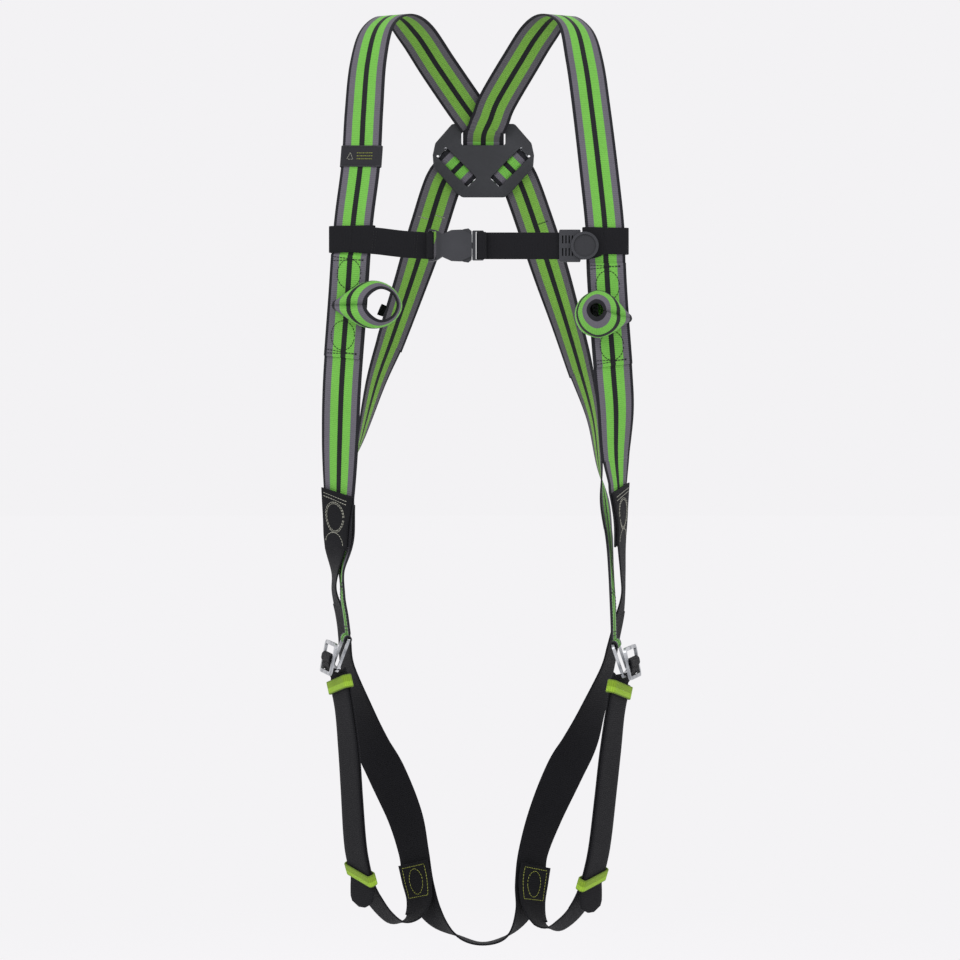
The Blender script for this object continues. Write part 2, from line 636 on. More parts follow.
def racetrack(place: Station, half_x: float, half_y: float, radius: float) -> list[Station]:
    """Return closed stations round a flat loop of webbing.

    Args:
        place: The loop's centre; the loop runs round its along direction.
        half_x: Half the loop's mid-line across.
        half_y: Half of it along the normal.
        radius: Radius of its four corners.

    Returns:
        Stations whose across direction is the place's along direction, facing outwards.
    """
    radius = min(radius, half_x, half_y)
    flat = []
    for turn, (x, y) in enumerate(((1, 1), (-1, 1), (-1, -1), (1, -1))):
        centre = (x * (half_x - radius), y * (half_y - radius))
        for k in range(6):
            angle = math.radians(90 * turn + 18 * k)
            flat.append((centre[0] + radius * math.cos(angle), centre[1] + radius
                         * math.sin(angle)))
    full = []
    for index, first in enumerate(flat):
        second = flat[(index + 1) % len(flat)]
        gap = math.dist(first, second)
        count = max(1, round(gap / STATION_STEP))
        full += [(first[0] + (second[0] - first[0]) * k / count,
                  first[1] + (second[1] - first[1]) * k / count) for k in range(count)
                 if gap > 0.01]
    made = []
    for index, (x, y) in enumerate(full):
        before, after = full[index - 1], full[(index + 1) % len(full)]
        along = (place.across * (after[0] - before[0]) + place.normal * (after[1] - before[1]))
        along.normalize()
        made.append(Station(place.at(x, y, 0), place.along, along.cross(place.along), along))
    return made


@dataclass
class Webbing:
    """Flat webbing through a row of stations, with rounded selvedges."""

    row: list[Station]
    width: float = WEB_WIDTH
    thick: float = WEB_THICK
    closed: bool = False
    tip: float = 0.0                          # length of the rounded end at the first station
    lengths: list[float] = field(init=False)

    def __post_init__(self) -> None:
        """Measure the webbing's length up to each station."""
        total, self.lengths = 0.0, [0.0]
        following = self.row[1:] + (self.row[:1] if self.closed else [])
        for first, second in zip(self.row, following):
            total += (second.centre - first.centre).length
            self.lengths.append(total)

    def section(self) -> list[tuple[float, float, bool]]:
        """Return the cross-section: share of the half width, height, and if it's the front."""
        edge = self.thick / 2
        flat = 1.0 - 2 * edge / self.width
        made = [(-flat + 2 * flat * k / 6, edge, True) for k in range(7)]
        for degrees in (60, 30, 0, -30, -60):
            angle = math.radians(degrees)
            made.append((flat + (1 - flat) * math.cos(angle), edge * math.sin(angle), False))
        made += [(-u, -edge, False) for u, _v, _front in made[:7]]
        made += [(-u, -v, False) for u, v, _front in made[7:12]]
        return made

    def scale_at(self, length: float) -> float:
        """Return the width's share at a length from the first station."""
        if length >= self.tip or self.tip <= 0:
            return 1.0
        return math.sqrt(max(1.0 - (1.0 - length / self.tip) ** 2, 0.0)) * 0.75 + 0.25

    def mesh(self, name: str, finishes: Sequence[Finish], outer: Face) -> bpy.types.Object:
        """Build the webbing.

        Args:
            name: Piece name.
            finishes: Finish of the outer face, and of the other face if it differs.
            outer: The face that has the first finish.

        Returns:
            The object, not yet riding.
        """
        profile = self.section()
        count, rows = len(profile), len(self.row)
        points: list[Vector] = []
        for station, length in zip(self.row, self.lengths):
            half = self.width / 2 * self.scale_at(length)
            points += [station.at(u * half, v, 0) for u, v, _front in profile]
        faces, uvs, slots = [], [], []
        for i in range(rows if self.closed else rows - 1):
            here, there = i * count, ((i + 1) % rows) * count
            for k in range(count):
                following = (k + 1) % count
                faces.append((here + k, there + k, there + following, here + following))
                a, b = profile[k][0] * self.width / 2, profile[following][0] * self.width / 2
                low, high = self.lengths[i], self.lengths[i + 1]
                uvs += [(a, low), (a, high), (b, high), (b, low)]
                front = k < 6
                back = 12 <= k < 18
                plain = front if outer is Face.REVERSE else back
                slots.append(min(int(plain), len(finishes) - 1))
        if not self.closed:
            for start, order in ((0, 1), ((rows - 1) * count, -1)):
                ring = list(range(count))[::order]
                faces.append(tuple(start + k for k in ring))
                uvs += [(profile[k][0] * self.width / 2, self.lengths[0 if start == 0 else -1])
                        for k in ring]
                slots.append(0)
        return solid(name, points, faces, uvs, finishes, slots)

    def near(self, length: float) -> Station:
        """Return the station at a length from the first one, interpolated."""
        for index in range(len(self.row) - 1):
            low, high = self.lengths[index], self.lengths[index + 1]
            if length <= high or index == len(self.row) - 2:
                part = (length - low) / max(high - low, 1e-6)
                first, second = self.row[index], self.row[index + 1]
                mixed = [getattr(first, key).lerp(getattr(second, key), part)
                         for key in ("across", "normal", "along")]
                return Station(first.centre.lerp(second.centre, part),
                               *(v.normalized() for v in mixed))
        raise ValueError(length)

    def on_face(self, face: Face, marks: Sequence[tuple[float, float]],
                lift: float = 0.0) -> Path:
        """Place flat marks on one face.

        Args:
            face: Which face.
            marks: Distances across and along the webbing.
            lift: Height over the face.

        Returns:
            Points with the face's normals.
        """
        made = []
        for across, length in marks:
            here = self.near(length)
            normal = here.normal * face.value
            made.append((here.centre + here.across * across + normal * (self.thick / 2 + lift),
                         normal))
        return made

    def length_at(self, height: float) -> float:
        """Return the length at which the webbing's centre is at a height."""
        for index, (first, second) in enumerate(zip(self.row, self.row[1:])):
            low, high = sorted((first.centre.z, second.centre.z))
            if low <= height <= high and high > low:
                part = (height - first.centre.z) / (second.centre.z - first.centre.z)
                return self.lengths[index] + part * (self.lengths[index + 1]
                                                     - self.lengths[index])
        raise ValueError(f"the webbing doesn't pass height {height}")


def solid(name: str, points: Sequence[Vector], faces: Sequence[Sequence[int]],
          uvs: Sequence[tuple[float, float]], finishes: Sequence[Finish],
          slots: Optional[Sequence[int]] = None) -> bpy.types.Object:
    """Make a smooth mesh object.

    Args:
        name: Piece name.
        points: Vertices in millimetres.
        faces: Vertex numbers of each face.
        uvs: One pair of millimetres for each face corner, in order, or nothing.
        finishes: Finish of each material slot.
        slots: Material slot of each face.

    Returns:
        The object, linked to the scene.
    """
    mesh = bpy.data.meshes.new(name)
    mesh.from_pydata([tuple(p * MM) for p in points], [], [tuple(f) for f in faces])
    if uvs:
        layer = mesh.uv_layers.new(name="web")
        layer.data.foreach_set("uv", [value for pair in uvs for value in pair])
    for finish in finishes:
        mesh.materials.append(finish.material())
    if slots:
        mesh.polygons.foreach_set("material_index", list(slots))
    mesh.polygons.foreach_set("use_smooth", [True] * len(mesh.polygons))
    mesh.set_sharp_from_angle(angle=math.radians(50))
    mesh.update()
    made = bpy.data.objects.new(name, mesh)
    bpy.context.scene.collection.objects.link(made)
    return made


def settle(piece: bpy.types.Object, body: str, slot: str, *nodes: str) -> bpy.types.Object:
    """Let a piece ride on its body, name its slot and stand for CAD nodes.

    Args:
        piece: The finished object.
        body: CAD body that it rides on.
        slot: The record's material slot.
        nodes: CAD nodes that it replaces.

    Returns:
        The piece.
    """
    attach(piece, body)
    if nodes:
        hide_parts(*nodes)
    LOG.info("%s: %d faces on %s", piece.name, len(piece.data.polygons), body)
    return piece


def dress(node: str, finish: Finish, bevel: float = 0.0) -> bpy.types.Object:
    """Give a CAD node its finish, and soften its edges.

    Args:
        node: CAD node's name.
        finish: The finish.
        bevel: Width of the softened edges, or 0 to leave them.

    Returns:
        The node's object.
    """
    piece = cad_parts[node]
    if piece.material_slots:
        for place in piece.material_slots:
            place.material = finish.material()
    else:
        piece.data.materials.append(finish.material())
    if bevel:
        softened = piece.modifiers.new("edges", "BEVEL")
        softened.width = bevel * MM
        softened.segments = 2
        softened.limit_method = "ANGLE"
        softened.angle_limit = math.radians(48)
    LOG.info("%s: CAD shape in %s", node, finish.value.name)
    return piece


# ---- sewing -------------------------------------------------------------------------------
@dataclass(frozen=True)
class Stitching:
    """Lockstitches along lines on a fabric's face."""

    finish: Finish
    stitch: float = 3.0       # length of one stitch
    gap: float = 0.55         # fabric between two stitches
    radius: float = 0.42

    def along(self, path: Path, points: list[Vector], faces: list[tuple[int, ...]]) -> None:
        """Add one line of stitches to a mesh in the making."""
        total = [0.0]
        for (a, _n), (b, _m) in zip(path, path[1:]):
            total.append(total[-1] + (b - a).length)

        def spot(length: float) -> tuple[Vector, Vector]:
            """Return the point and normal at a length along the line."""
            for k in range(len(path) - 1):
                if length <= total[k + 1] or k == len(path) - 2:
                    part = (length - total[k]) / max(total[k + 1] - total[k], 1e-6)
                    return (path[k][0].lerp(path[k + 1][0], part),
                            path[k][1].lerp(path[k + 1][1], part).normalized())
            return path[-1]

        pitch = self.stitch + self.gap
        for k in range(max(1, int(total[-1] / pitch))):
            start = k * pitch
            rings = []
            shares = ((0.0, -0.5, 0.45), (0.12, 0.25, 0.85), (0.5, 0.6, 1.0), (0.88, 0.25, 0.85),
                      (1.0, -0.5, 0.45))
            for share, lift, size in shares:
                point, normal = spot(start + share * self.stitch)
                ahead, _n = spot(start + share * self.stitch + 0.2)
                behind, _n = spot(start + share * self.stitch - 0.2)
                forward = (ahead - behind).normalized()
                side = forward.cross(normal).normalized()
                middle = point + normal * lift * self.radius
                ring = []
                for turn in range(6):
                    angle = math.pi * turn / 3
                    ring.append(len(points))
                    points.append(middle + (side * math.cos(angle) + normal * math.sin(angle))
                                  * self.radius * size)
                rings.append(ring)
            for first, second in zip(rings, rings[1:]):
                for turn in range(6):
                    other = (turn + 1) % 6
                    faces.append((first[turn], first[other], second[other], second[turn]))
            faces.append(tuple(reversed(rings[0])))
            faces.append(tuple(rings[-1]))

    def sew(self, name: str, paths: Sequence[Path], body: str, slot: str) -> bpy.types.Object:
        """Make one piece of all the stitches along some lines.

        Args:
            name: Piece name.
            paths: Lines of points with normals.
            body: CAD body that the stitches ride on.
            slot: The record's material slot.

        Returns:
            The piece.
        """
        points: list[Vector] = []
        faces: list[tuple[int, ...]] = []
        for path in paths:
            self.along(path, points, faces)
        return settle(solid(name, points, faces, [], [self.finish]), body, slot)


def ring_marks(across: float, length: float, half_across: float, half_along: float,
               start: float = 0.0, end: float = 360.0) -> list[tuple[float, float]]:
    """Return marks round an ellipse, from one angle to another in degrees."""
    steps = 40
    return [(across + half_across * math.cos(math.radians(start + (end - start) * k / steps)),
             length + half_along * math.sin(math.radians(start + (end - start) * k / steps)))
            for k in range(steps + 1)]


def line_marks(*corners: tuple[float, float]) -> list[tuple[float, float]]:
    """Return marks along straight runs between corners."""
    made = []
    for (x, y), (u, v) in zip(corners, corners[1:]):
        made += [(x + (u - x) * k / 12, y + (v - y) * k / 12) for k in range(12)]
    return made + [corners[-1]]


# ---- sub-assemblies -----------------------------------------------------------------------
LEFT_ROW = stations(FRONT_LEFT + BACK_RIGHT)
RIGHT_ROW = stations(FRONT_RIGHT + BACK_LEFT)
LEFT_FRONT = LEFT_ROW[:len(stations(FRONT_LEFT))]
RIGHT_FRONT = RIGHT_ROW[:len(stations(FRONT_RIGHT))]


def crossbar_turn(place: Station, height: float, inner_thick: float,
                  inner_length: float) -> Webbing:
    """Return webbing turned round a buckle's crossbar, as a closed sleeve.

    Args:
        place: The buckle's station.
        height: Height of the sleeve's centre along it.
        inner_thick: Free space through the buckle.
        inner_length: Free space along it.

    Returns:
        The webbing.
    """
    turned = Station(place.at(0, 0, height), place.normal, place.along, place.across)
    row = racetrack(turned, (inner_thick + WEB_THICK) / 2, (inner_length + WEB_THICK) / 2, 3.2)
    return Webbing(row, closed=True)


@dataclass
class ShoulderStrap:
    """One striped strap: up a front, over the shoulder, through the plate to the other hip."""

    side: Side
    row: list[Station]
    buckle: Station
    bar_tacks: tuple[float, ...] = ()
    tack_thread: Finish = Finish.DARK_THREAD
    frame_turn: float = 17.75

    def build(self) -> None:
        """Build the strap, its turn round the buckle frame and its bar tacks."""
        strap = Webbing(self.row)
        piece = strap.mesh(f"shoulder_strap_{self.side.word}", [Finish.OUTER, Finish.INNER],
                           Face.REVERSE)
        settle(piece, "harness", "striped_webbing", f"main_strap_{self.side.word}")
        turn = crossbar_turn(self.buckle, self.frame_turn, 4.4, 6.4)
        settle(turn.mesh(f"shoulder_strap_{self.side.word}_buckle_turn",
                         [Finish.OUTER], Face.NORMAL), "harness", "striped_webbing")
        self.sew(strap)

    def sew(self, strap: Webbing) -> None:
        """Sew the strap's end behind its buckle turn and its bar tacks on the back."""
        end = strap.lengths[-1]
        paths = []
        for inset in (5.0, 9.0, 52.0, 56.0):
            paths.append(strap.on_face(Face.REVERSE, line_marks((-18, end - inset),
                                                                (18, end - inset))))
        for across in (-18.0, 18.0):
            paths.append(strap.on_face(Face.REVERSE, line_marks((across, end - 52),
                                                                (across, end - 9))))
        Stitching(Finish.DARK_THREAD, radius=0.5).sew(
            f"buckle_seam_{self.side.word}", paths, "harness", "striped_webbing")
        tacks = []
        back = strap.row[len(self.row) // 2:]
        for number, height in enumerate(self.bar_tacks):
            where = Webbing(back).length_at(height)
            across = -9.0 if number % 2 else 10.0
            tacks.append(Webbing(back).on_face(Face.NORMAL, line_marks(
                (across - 7, where), (across + 7, where))))
        if tacks:
            Stitching(self.tack_thread, radius=0.5, gap=0.2).sew(
                f"bar_tacks_{self.side.word}", tacks, "harness", "striped_webbing")


@dataclass
class DorsalUnit:
    """The moulded plate between the shoulder blades, its D-ring and the webbing in its slots."""

    centre: tuple[float, float] = (4.0, -155.5)
    front: float = 100.0
    thick: float = 5.0
    top_slot: float = 25.5
    slot_at: tuple[float, float] = (31.0, -9.0)
    slot_width: float = 16.0
    bulge: float = 3.2

    def build(self) -> None:
        """Dress the plate and ring and fill the slots."""
        dress("dorsal_plate", Finish.NYLON, 0.5)
        dress("dorsal_d_ring", Finish.STEEL)
        for side in Side:
            angle = math.radians(45)
            across = Vector((math.cos(angle) * side.value, 0, math.sin(angle)))
            middle = Vector((self.centre[0] + side.value * self.slot_at[0], 0,
                             self.centre[1] + self.slot_at[1]))
            self.fill(f"slot_webbing_{side.word}", middle, across)
        self.fill("slot_webbing_top", Vector((self.centre[0], 0, self.centre[1] + self.top_slot)),
                  Vector((1, 0, 0)))

    def fill(self, name: str, middle: Vector, across: Vector) -> None:
        """Build the webbing that swells forward in one slot.

        Args:
            name: Piece name.
            middle: Centre of the slot in X and Z.
            across: Direction of the slot's length.
        """
        along = across.cross(Vector((0, 1, 0))).normalized()
        points, sides = [], []
        for k in range(13):
            share = k / 6 - 1
            depth = self.front + self.thick + 0.6 - self.bulge * math.sqrt(
                max(1 - share ** 2, 0.0))
            point = middle + along * share * (self.slot_width / 2 + 0.6)
            points.append(Vector((point.x, depth, point.z)))
            sides.append(across)
        piece = Webbing(framed(points, sides), width=WEB_WIDTH + 3.4).mesh(
            name, [Finish.OUTER], Face.NORMAL)
        settle(piece, "harness", "striped_webbing")


@dataclass
class LabelSleeve:
    """The woven sleeve on the left front strap, with a plain woven ornament."""

    height: float = -170.5
    tall: float = 25.0
    inner: tuple[float, float] = (46.2, 3.6)
    wall: float = 0.8

    def build(self) -> None:
        """Build the sleeve and its ornament."""
        place = at_height(LEFT_FRONT, self.height)
        row = racetrack(place, (self.inner[0] + self.wall) / 2, (self.inner[1] + self.wall) / 2,
                        2.0)
        sleeve = Webbing(row, width=self.tall, thick=self.wall, closed=True)
        settle(sleeve.mesh("label_sleeve_woven", [Finish.LABEL], Face.NORMAL), "harness",
               "black_webbing", "label_sleeve")
        front = place.moved(-(self.inner[1] / 2 + self.wall + 0.1))
        thread = Stitching(Finish.GREY_THREAD, stitch=2.2, gap=0.1, radius=0.34)
        thread.sew("label_ornament_grey", [self.marks(front, [(-16, -4), (-12.5, 4), (-9, -4),
                                                              (-16, -4)])],
                   "harness", "black_webbing")
        green = Stitching(Finish.OLIVE_THREAD, stitch=2.2, gap=0.1, radius=0.34)
        green.sew("label_ornament_green", [
            self.marks(front, [(-5, height), (14, height)]) for height in (-3.5, 0.0, 3.5)],
            "harness", "black_webbing")
        hem = Stitching(Finish.DARK_THREAD, radius=0.3)
        hem.sew("label_hem", [self.marks(front, [(-21, height), (21, height)])
                              for height in (-11, 11)], "harness", "black_webbing")

    def marks(self, front: Station, corners: Sequence[tuple[float, float]]) -> Path:
        """Return a line over the label's front through some corners."""
        return [(front.at(x, 0, z), -front.normal) for x, z in line_marks(*corners)]


@dataclass
class ChestLoop:
    """A sewn patch on a front strap and the flared webbing loop that grows from it.

    The loop is a surface between two closed lines: the far selvedge, pinched to a point at the
    strap's outer edge, and the near selvedge, which is the loop's open mouth. The middle line
    carries the webbing's centre stripe.
    """

    side: Side
    row: list[Station]
    top: float
    bottom: float
    far: tuple[tuple[float, float, float], ...]
    middle: tuple[tuple[float, float, float], ...]
    mouth: tuple[tuple[float, float, float], ...]
    retainer: tuple[float, float, float]
    circles: tuple[tuple[float, float], ...]
    rows: tuple[float, ...]
    crease: float = 11.0

    def build(self) -> None:
        """Build the patch with its seams, the loop and the elastic retainer."""
        shifted = [s.moved(-(WEB_THICK + LAYER_GAP)) for s in span(self.row, self.bottom,
                                                                   self.top)]
        patch = Webbing(shifted)
        settle(patch.mesh(f"chest_loop_{self.side.word}_patch", [Finish.OUTER], Face.REVERSE),
               "harness", "striped_webbing")
        self.sew(patch)
        self.loop()
        self.elastic()

    def sew(self, patch: Webbing) -> None:
        """Sew the circles and the crossed double rows that hold the patch."""
        paths = []
        for height, across in self.circles:
            paths.append(patch.on_face(Face.REVERSE, ring_marks(
                across, patch.length_at(height), 13.5, 16.5)))
        for height in self.rows:
            length = patch.length_at(height)
            for lift in (-2.2, 2.2):
                paths.append(patch.on_face(Face.REVERSE, line_marks(
                    (-19, length + lift), (19, length - lift * 0.4))))
        Stitching(Finish.DARK_THREAD, radius=0.46).sew(
            f"chest_loop_{self.side.word}_seams", paths, "harness", "striped_webbing")

    def surface(self) -> tuple[list[list[Vector]], int, int]:
        """Return the loop's outer surface as rows of points, with its counts."""
        turns, steps = 96, 18
        curves = []
        for keys in (self.far, self.middle, self.mouth):
            ring = [Vector(key) for key in keys]
            per = turns // len(ring)
            curves.append([curve_point(ring, k // per, (k % per) / per, True)
                           for k in range(turns)])
        grid = []
        for k in range(steps + 1):
            share = k / steps
            line = []
            for turn in range(turns):
                far, middle, mouth = (curve[turn] for curve in curves)
                control = middle * 2 - (far + mouth) * 0.5
                point = (far * (1 - share) ** 2 + control * 2 * share * (1 - share)
                         + mouth * share ** 2)
                away = abs((turn / turns * 360 - 180)) / 11
                fold = math.exp(-away ** 2) * self.crease * math.sin(math.pi * (
                    0.15 + 0.7 * share))
                line.append(point + Vector((0, fold, 0)))
            grid.append(line)
        return grid, turns, steps

    def loop(self) -> None:
        """Build the loop as webbing with a thickness and rounded selvedges."""
        grid, turns, steps = self.surface()
        points, faces, uvs = [], [], []
        layers = []
        for depth in (0.0, 1.0):
            layer = []
            for k, line in enumerate(grid):
                numbers = []
                for turn in range(turns):
                    ahead = line[(turn + 1) % turns] - line[turn - 1]
                    over = grid[min(k + 1, steps)][turn] - grid[max(k - 1, 0)][turn]
                    normal = ahead.cross(over).normalized() * self.side.value
                    numbers.append(len(points))
                    points.append(line[turn] - normal * depth * WEB_THICK)
                layer.append(numbers)
            layers.append(layer)
        around = [sum((grid[steps // 2][t] - grid[steps // 2][t - 1]).length
                      for t in range(1, turn + 1)) for turn in range(turns)]
        around.append(around[-1] + (grid[steps // 2][0] - grid[steps // 2][-1]).length)
        width = WEB_WIDTH / steps
        for layer, flip in zip(layers, (False, True)):
            for k in range(steps):
                for turn in range(turns):
                    other = (turn + 1) % turns
                    quad = [layer[k][turn], layer[k][other], layer[k + 1][other],
                            layer[k + 1][turn]]
                    low, high = k * width - WEB_WIDTH / 2, (k + 1) * width - WEB_WIDTH / 2
                    mark = [(low, around[turn]), (low, around[turn + 1]),
                            (high, around[turn + 1]), (high, around[turn])]
                    if flip != (self.side is Side.LEFT):
                        quad.reverse()
                        mark.reverse()
                    faces.append(quad)
                    uvs += mark
        for k, flip in ((0, True), (steps, False)):
            edge = (k * width - WEB_WIDTH / 2) * 0.999
            for turn in range(turns):
                other = (turn + 1) % turns
                quad = [layers[0][k][turn], layers[0][k][other], layers[1][k][other],
                        layers[1][k][turn]]
                mark = [(edge, around[turn]), (edge, around[turn + 1]),
                        (edge, around[turn + 1]), (edge, around[turn])]
                if flip != (self.side is Side.LEFT):
                    quad.reverse()
                    mark.reverse()
                faces.append(quad)
                uvs += mark
        piece = solid(f"chest_loop_{self.side.word}_webbing", points, faces, uvs,
                      [Finish.OUTER])
        edges = piece.modifiers.new("selvedge", "BEVEL")
        edges.width = 0.7 * MM
        edges.segments = 2
        edges.limit_method = "ANGLE"
        edges.angle_limit = math.radians(60)
        settle(piece, "harness", "striped_webbing", f"chest_loop_{self.side.word}")

    def elastic(self) -> None:
        """Build the small elastic tab that parks the loop."""
        x, y, z = self.retainer
        low, rise, sway, bow, count = -5.5, 1.4, 0.6, 2.5, 9
        points = [Vector((x + sway * k, y - bow * math.sin(k * 0.4), z + low + rise * k))
                  for k in range(count)]
        tab = Webbing(framed(points, [Vector((1, 0.1, -0.35))] * count), width=7.0, thick=1.4)
        settle(tab.mesh(f"loop_retainer_{self.side.word}_elastic", [Finish.CHEST], Face.NORMAL),
               "harness", "black_webbing", f"loop_retainer_{self.side.word}")


@dataclass
class ChestStrap:
    """The narrow black strap across the chest with its buckle and slider."""

    height: float = -272.0
    depth: float = -127.0
    wrap_inner: tuple[float, float] = (50.0, 4.6)
    left_wrap: float = -264.0
    right_wrap: float = -266.0
    left_bar: float = -55.5
    right_bar: float = 1.5
    turn_half: dict[Side, float] = field(
        default_factory=lambda: {Side.LEFT: 3.2, Side.RIGHT: 4.7})

    def build(self) -> None:
        """Build both halves and dress the buckle and slider."""
        self.half(Side.LEFT, LEFT_FRONT, self.left_wrap,
                  [((-116, -122.3, -266.5), (0, 0, 1)), ((-86, -122, -270), (0, 0, 1)),
                   ((-56.5, -122.7, -272), (0, 0, 1))], self.left_bar)
        self.half(Side.RIGHT, RIGHT_FRONT, self.right_wrap,
                  [((120, -121.6, -272), (0, 0, 1)), ((104, -121.7, -272), (0, 0, 1)),
                   ((84, -121.7, -272), (0, 0, 1)), ((40, -122.4, -272), (0, 0, 1)),
                   ((3, -122.7, -272), (0, 0, 1))], self.right_bar)
        for node in ("chest_buckle_housing", "chest_buckle_tongue", "chest_buckle_arm_upper",
                     "chest_buckle_arm_lower", "chest_adjuster_plate", "chest_adjuster_disc"):
            dress(node, Finish.NYLON, 0.7)

    def half(self, side: Side, front: list[Station], height: float, route: list[Row],
             bar: float) -> None:
        """Build one half of the strap.

        Args:
            side: Which half.
            front: Stations of the front strap that it wraps.
            height: Height of the wrap.
            route: The span's rows after the wrap.
            bar: X of the buckle's bar.
        """
        here = at_height(front, height)
        rising = Vector((0, here.along.y, here.along.z)).normalized()
        level = (here.across - rising * here.across.dot(rising)).normalized()
        place = Station(here.centre, level, rising.cross(level), rising)
        ring = racetrack(place, (self.wrap_inner[0] + CHEST_THICK) / 2,
                         (self.wrap_inner[1] + CHEST_THICK) / 2, 2.8)
        wrap = Webbing(ring, width=CHEST_WIDTH, thick=CHEST_THICK, closed=True)
        settle(wrap.mesh(f"chest_strap_{side.word}_wrap", [Finish.CHEST], Face.NORMAL),
               "harness", "black_webbing")
        start = here.centre + Vector((0, -1, 0)) * (
            (self.wrap_inner[1] + CHEST_THICK) / 2 + 0.5)
        rows = [(tuple(start), (0, 0, 1))] + route
        strap = Webbing(stations(rows), width=CHEST_WIDTH, thick=CHEST_THICK)
        reach = strap.mesh(f"chest_strap_{side.word}_span", [Finish.CHEST], Face.NORMAL)
        centre = Station(Vector((bar, self.depth, self.height)), Vector((1, 0, 0)),
                         Vector((0, 1, 0)), Vector((0, 0, 1)))
        half_turn = self.turn_half[side]
        turn = Webbing(racetrack(centre, half_turn, 4.3, 2.2), width=CHEST_WIDTH, thick=CHEST_THICK,
                       closed=True)
        around = turn.mesh(f"chest_strap_{side.word}_turn", [Finish.CHEST], Face.NORMAL)
        end = strap.lengths[-1]
        face = Face.NORMAL if strap.row[3].normal.y < 0 else Face.REVERSE
        paths = [strap.on_face(face, line_marks((-12, end - inset), (12, end - inset)))
                 for inset in (14.0, 17.0)]
        paths += [strap.on_face(face, line_marks((-12, inset), (12, inset)))
                  for inset in (24.0, 27.0)]
        seams = Stitching(Finish.DARK_THREAD, stitch=2.4, radius=0.32)
        if side is Side.LEFT:
            settle(reach, "harness", "black_webbing", "chest_strap_left")
            settle(around, "harness", "black_webbing")
            seams.sew("chest_strap_left_seams", paths, "harness", "black_webbing")
            return
        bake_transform(reach)
        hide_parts("chest_strap_right")
        LOG.info("%s: bends with the buckle's tongue", reach.name)
        settle(around, "chest_tongue", "black_webbing")
        seams.sew("chest_strap_right_seams", paths[2:], "harness", "black_webbing")


@dataclass
class SeatStrap:
    """The black strap from hip to hip, down both legs' insides and under the seat."""

    def build(self) -> None:
        """Build the strap and the seams that join it at the hips and the crotch."""
        strap = Webbing(stations(SUB_PELVIC))
        settle(strap.mesh("sub_pelvic_strap_webbing", [Finish.BLACK], Face.NORMAL), "harness",
               "black_webbing", "sub_pelvic_strap")
        total = strap.lengths[-1]
        paths = []
        for start, sign in ((0.0, 1.0), (total, -1.0)):
            for inset in (5.0, 9.0):
                paths.append(strap.on_face(Face.NORMAL, line_marks(
                    (-19, start + sign * inset), (19, start + sign * (inset + 1.5)))))
            for grow in (0.0, 1.8):
                paths.append(strap.on_face(Face.NORMAL, ring_marks(
                    0, start + sign * 30, 14 + grow, 16 + grow)))
            paths.append(strap.on_face(Face.NORMAL, ring_marks(
                0, start + sign * 62, 17, 14 * sign, 180, 360)))
        Stitching(Finish.GREY_THREAD, radius=0.5).sew("hip_seams", paths, "harness",
                                                      "black_webbing")


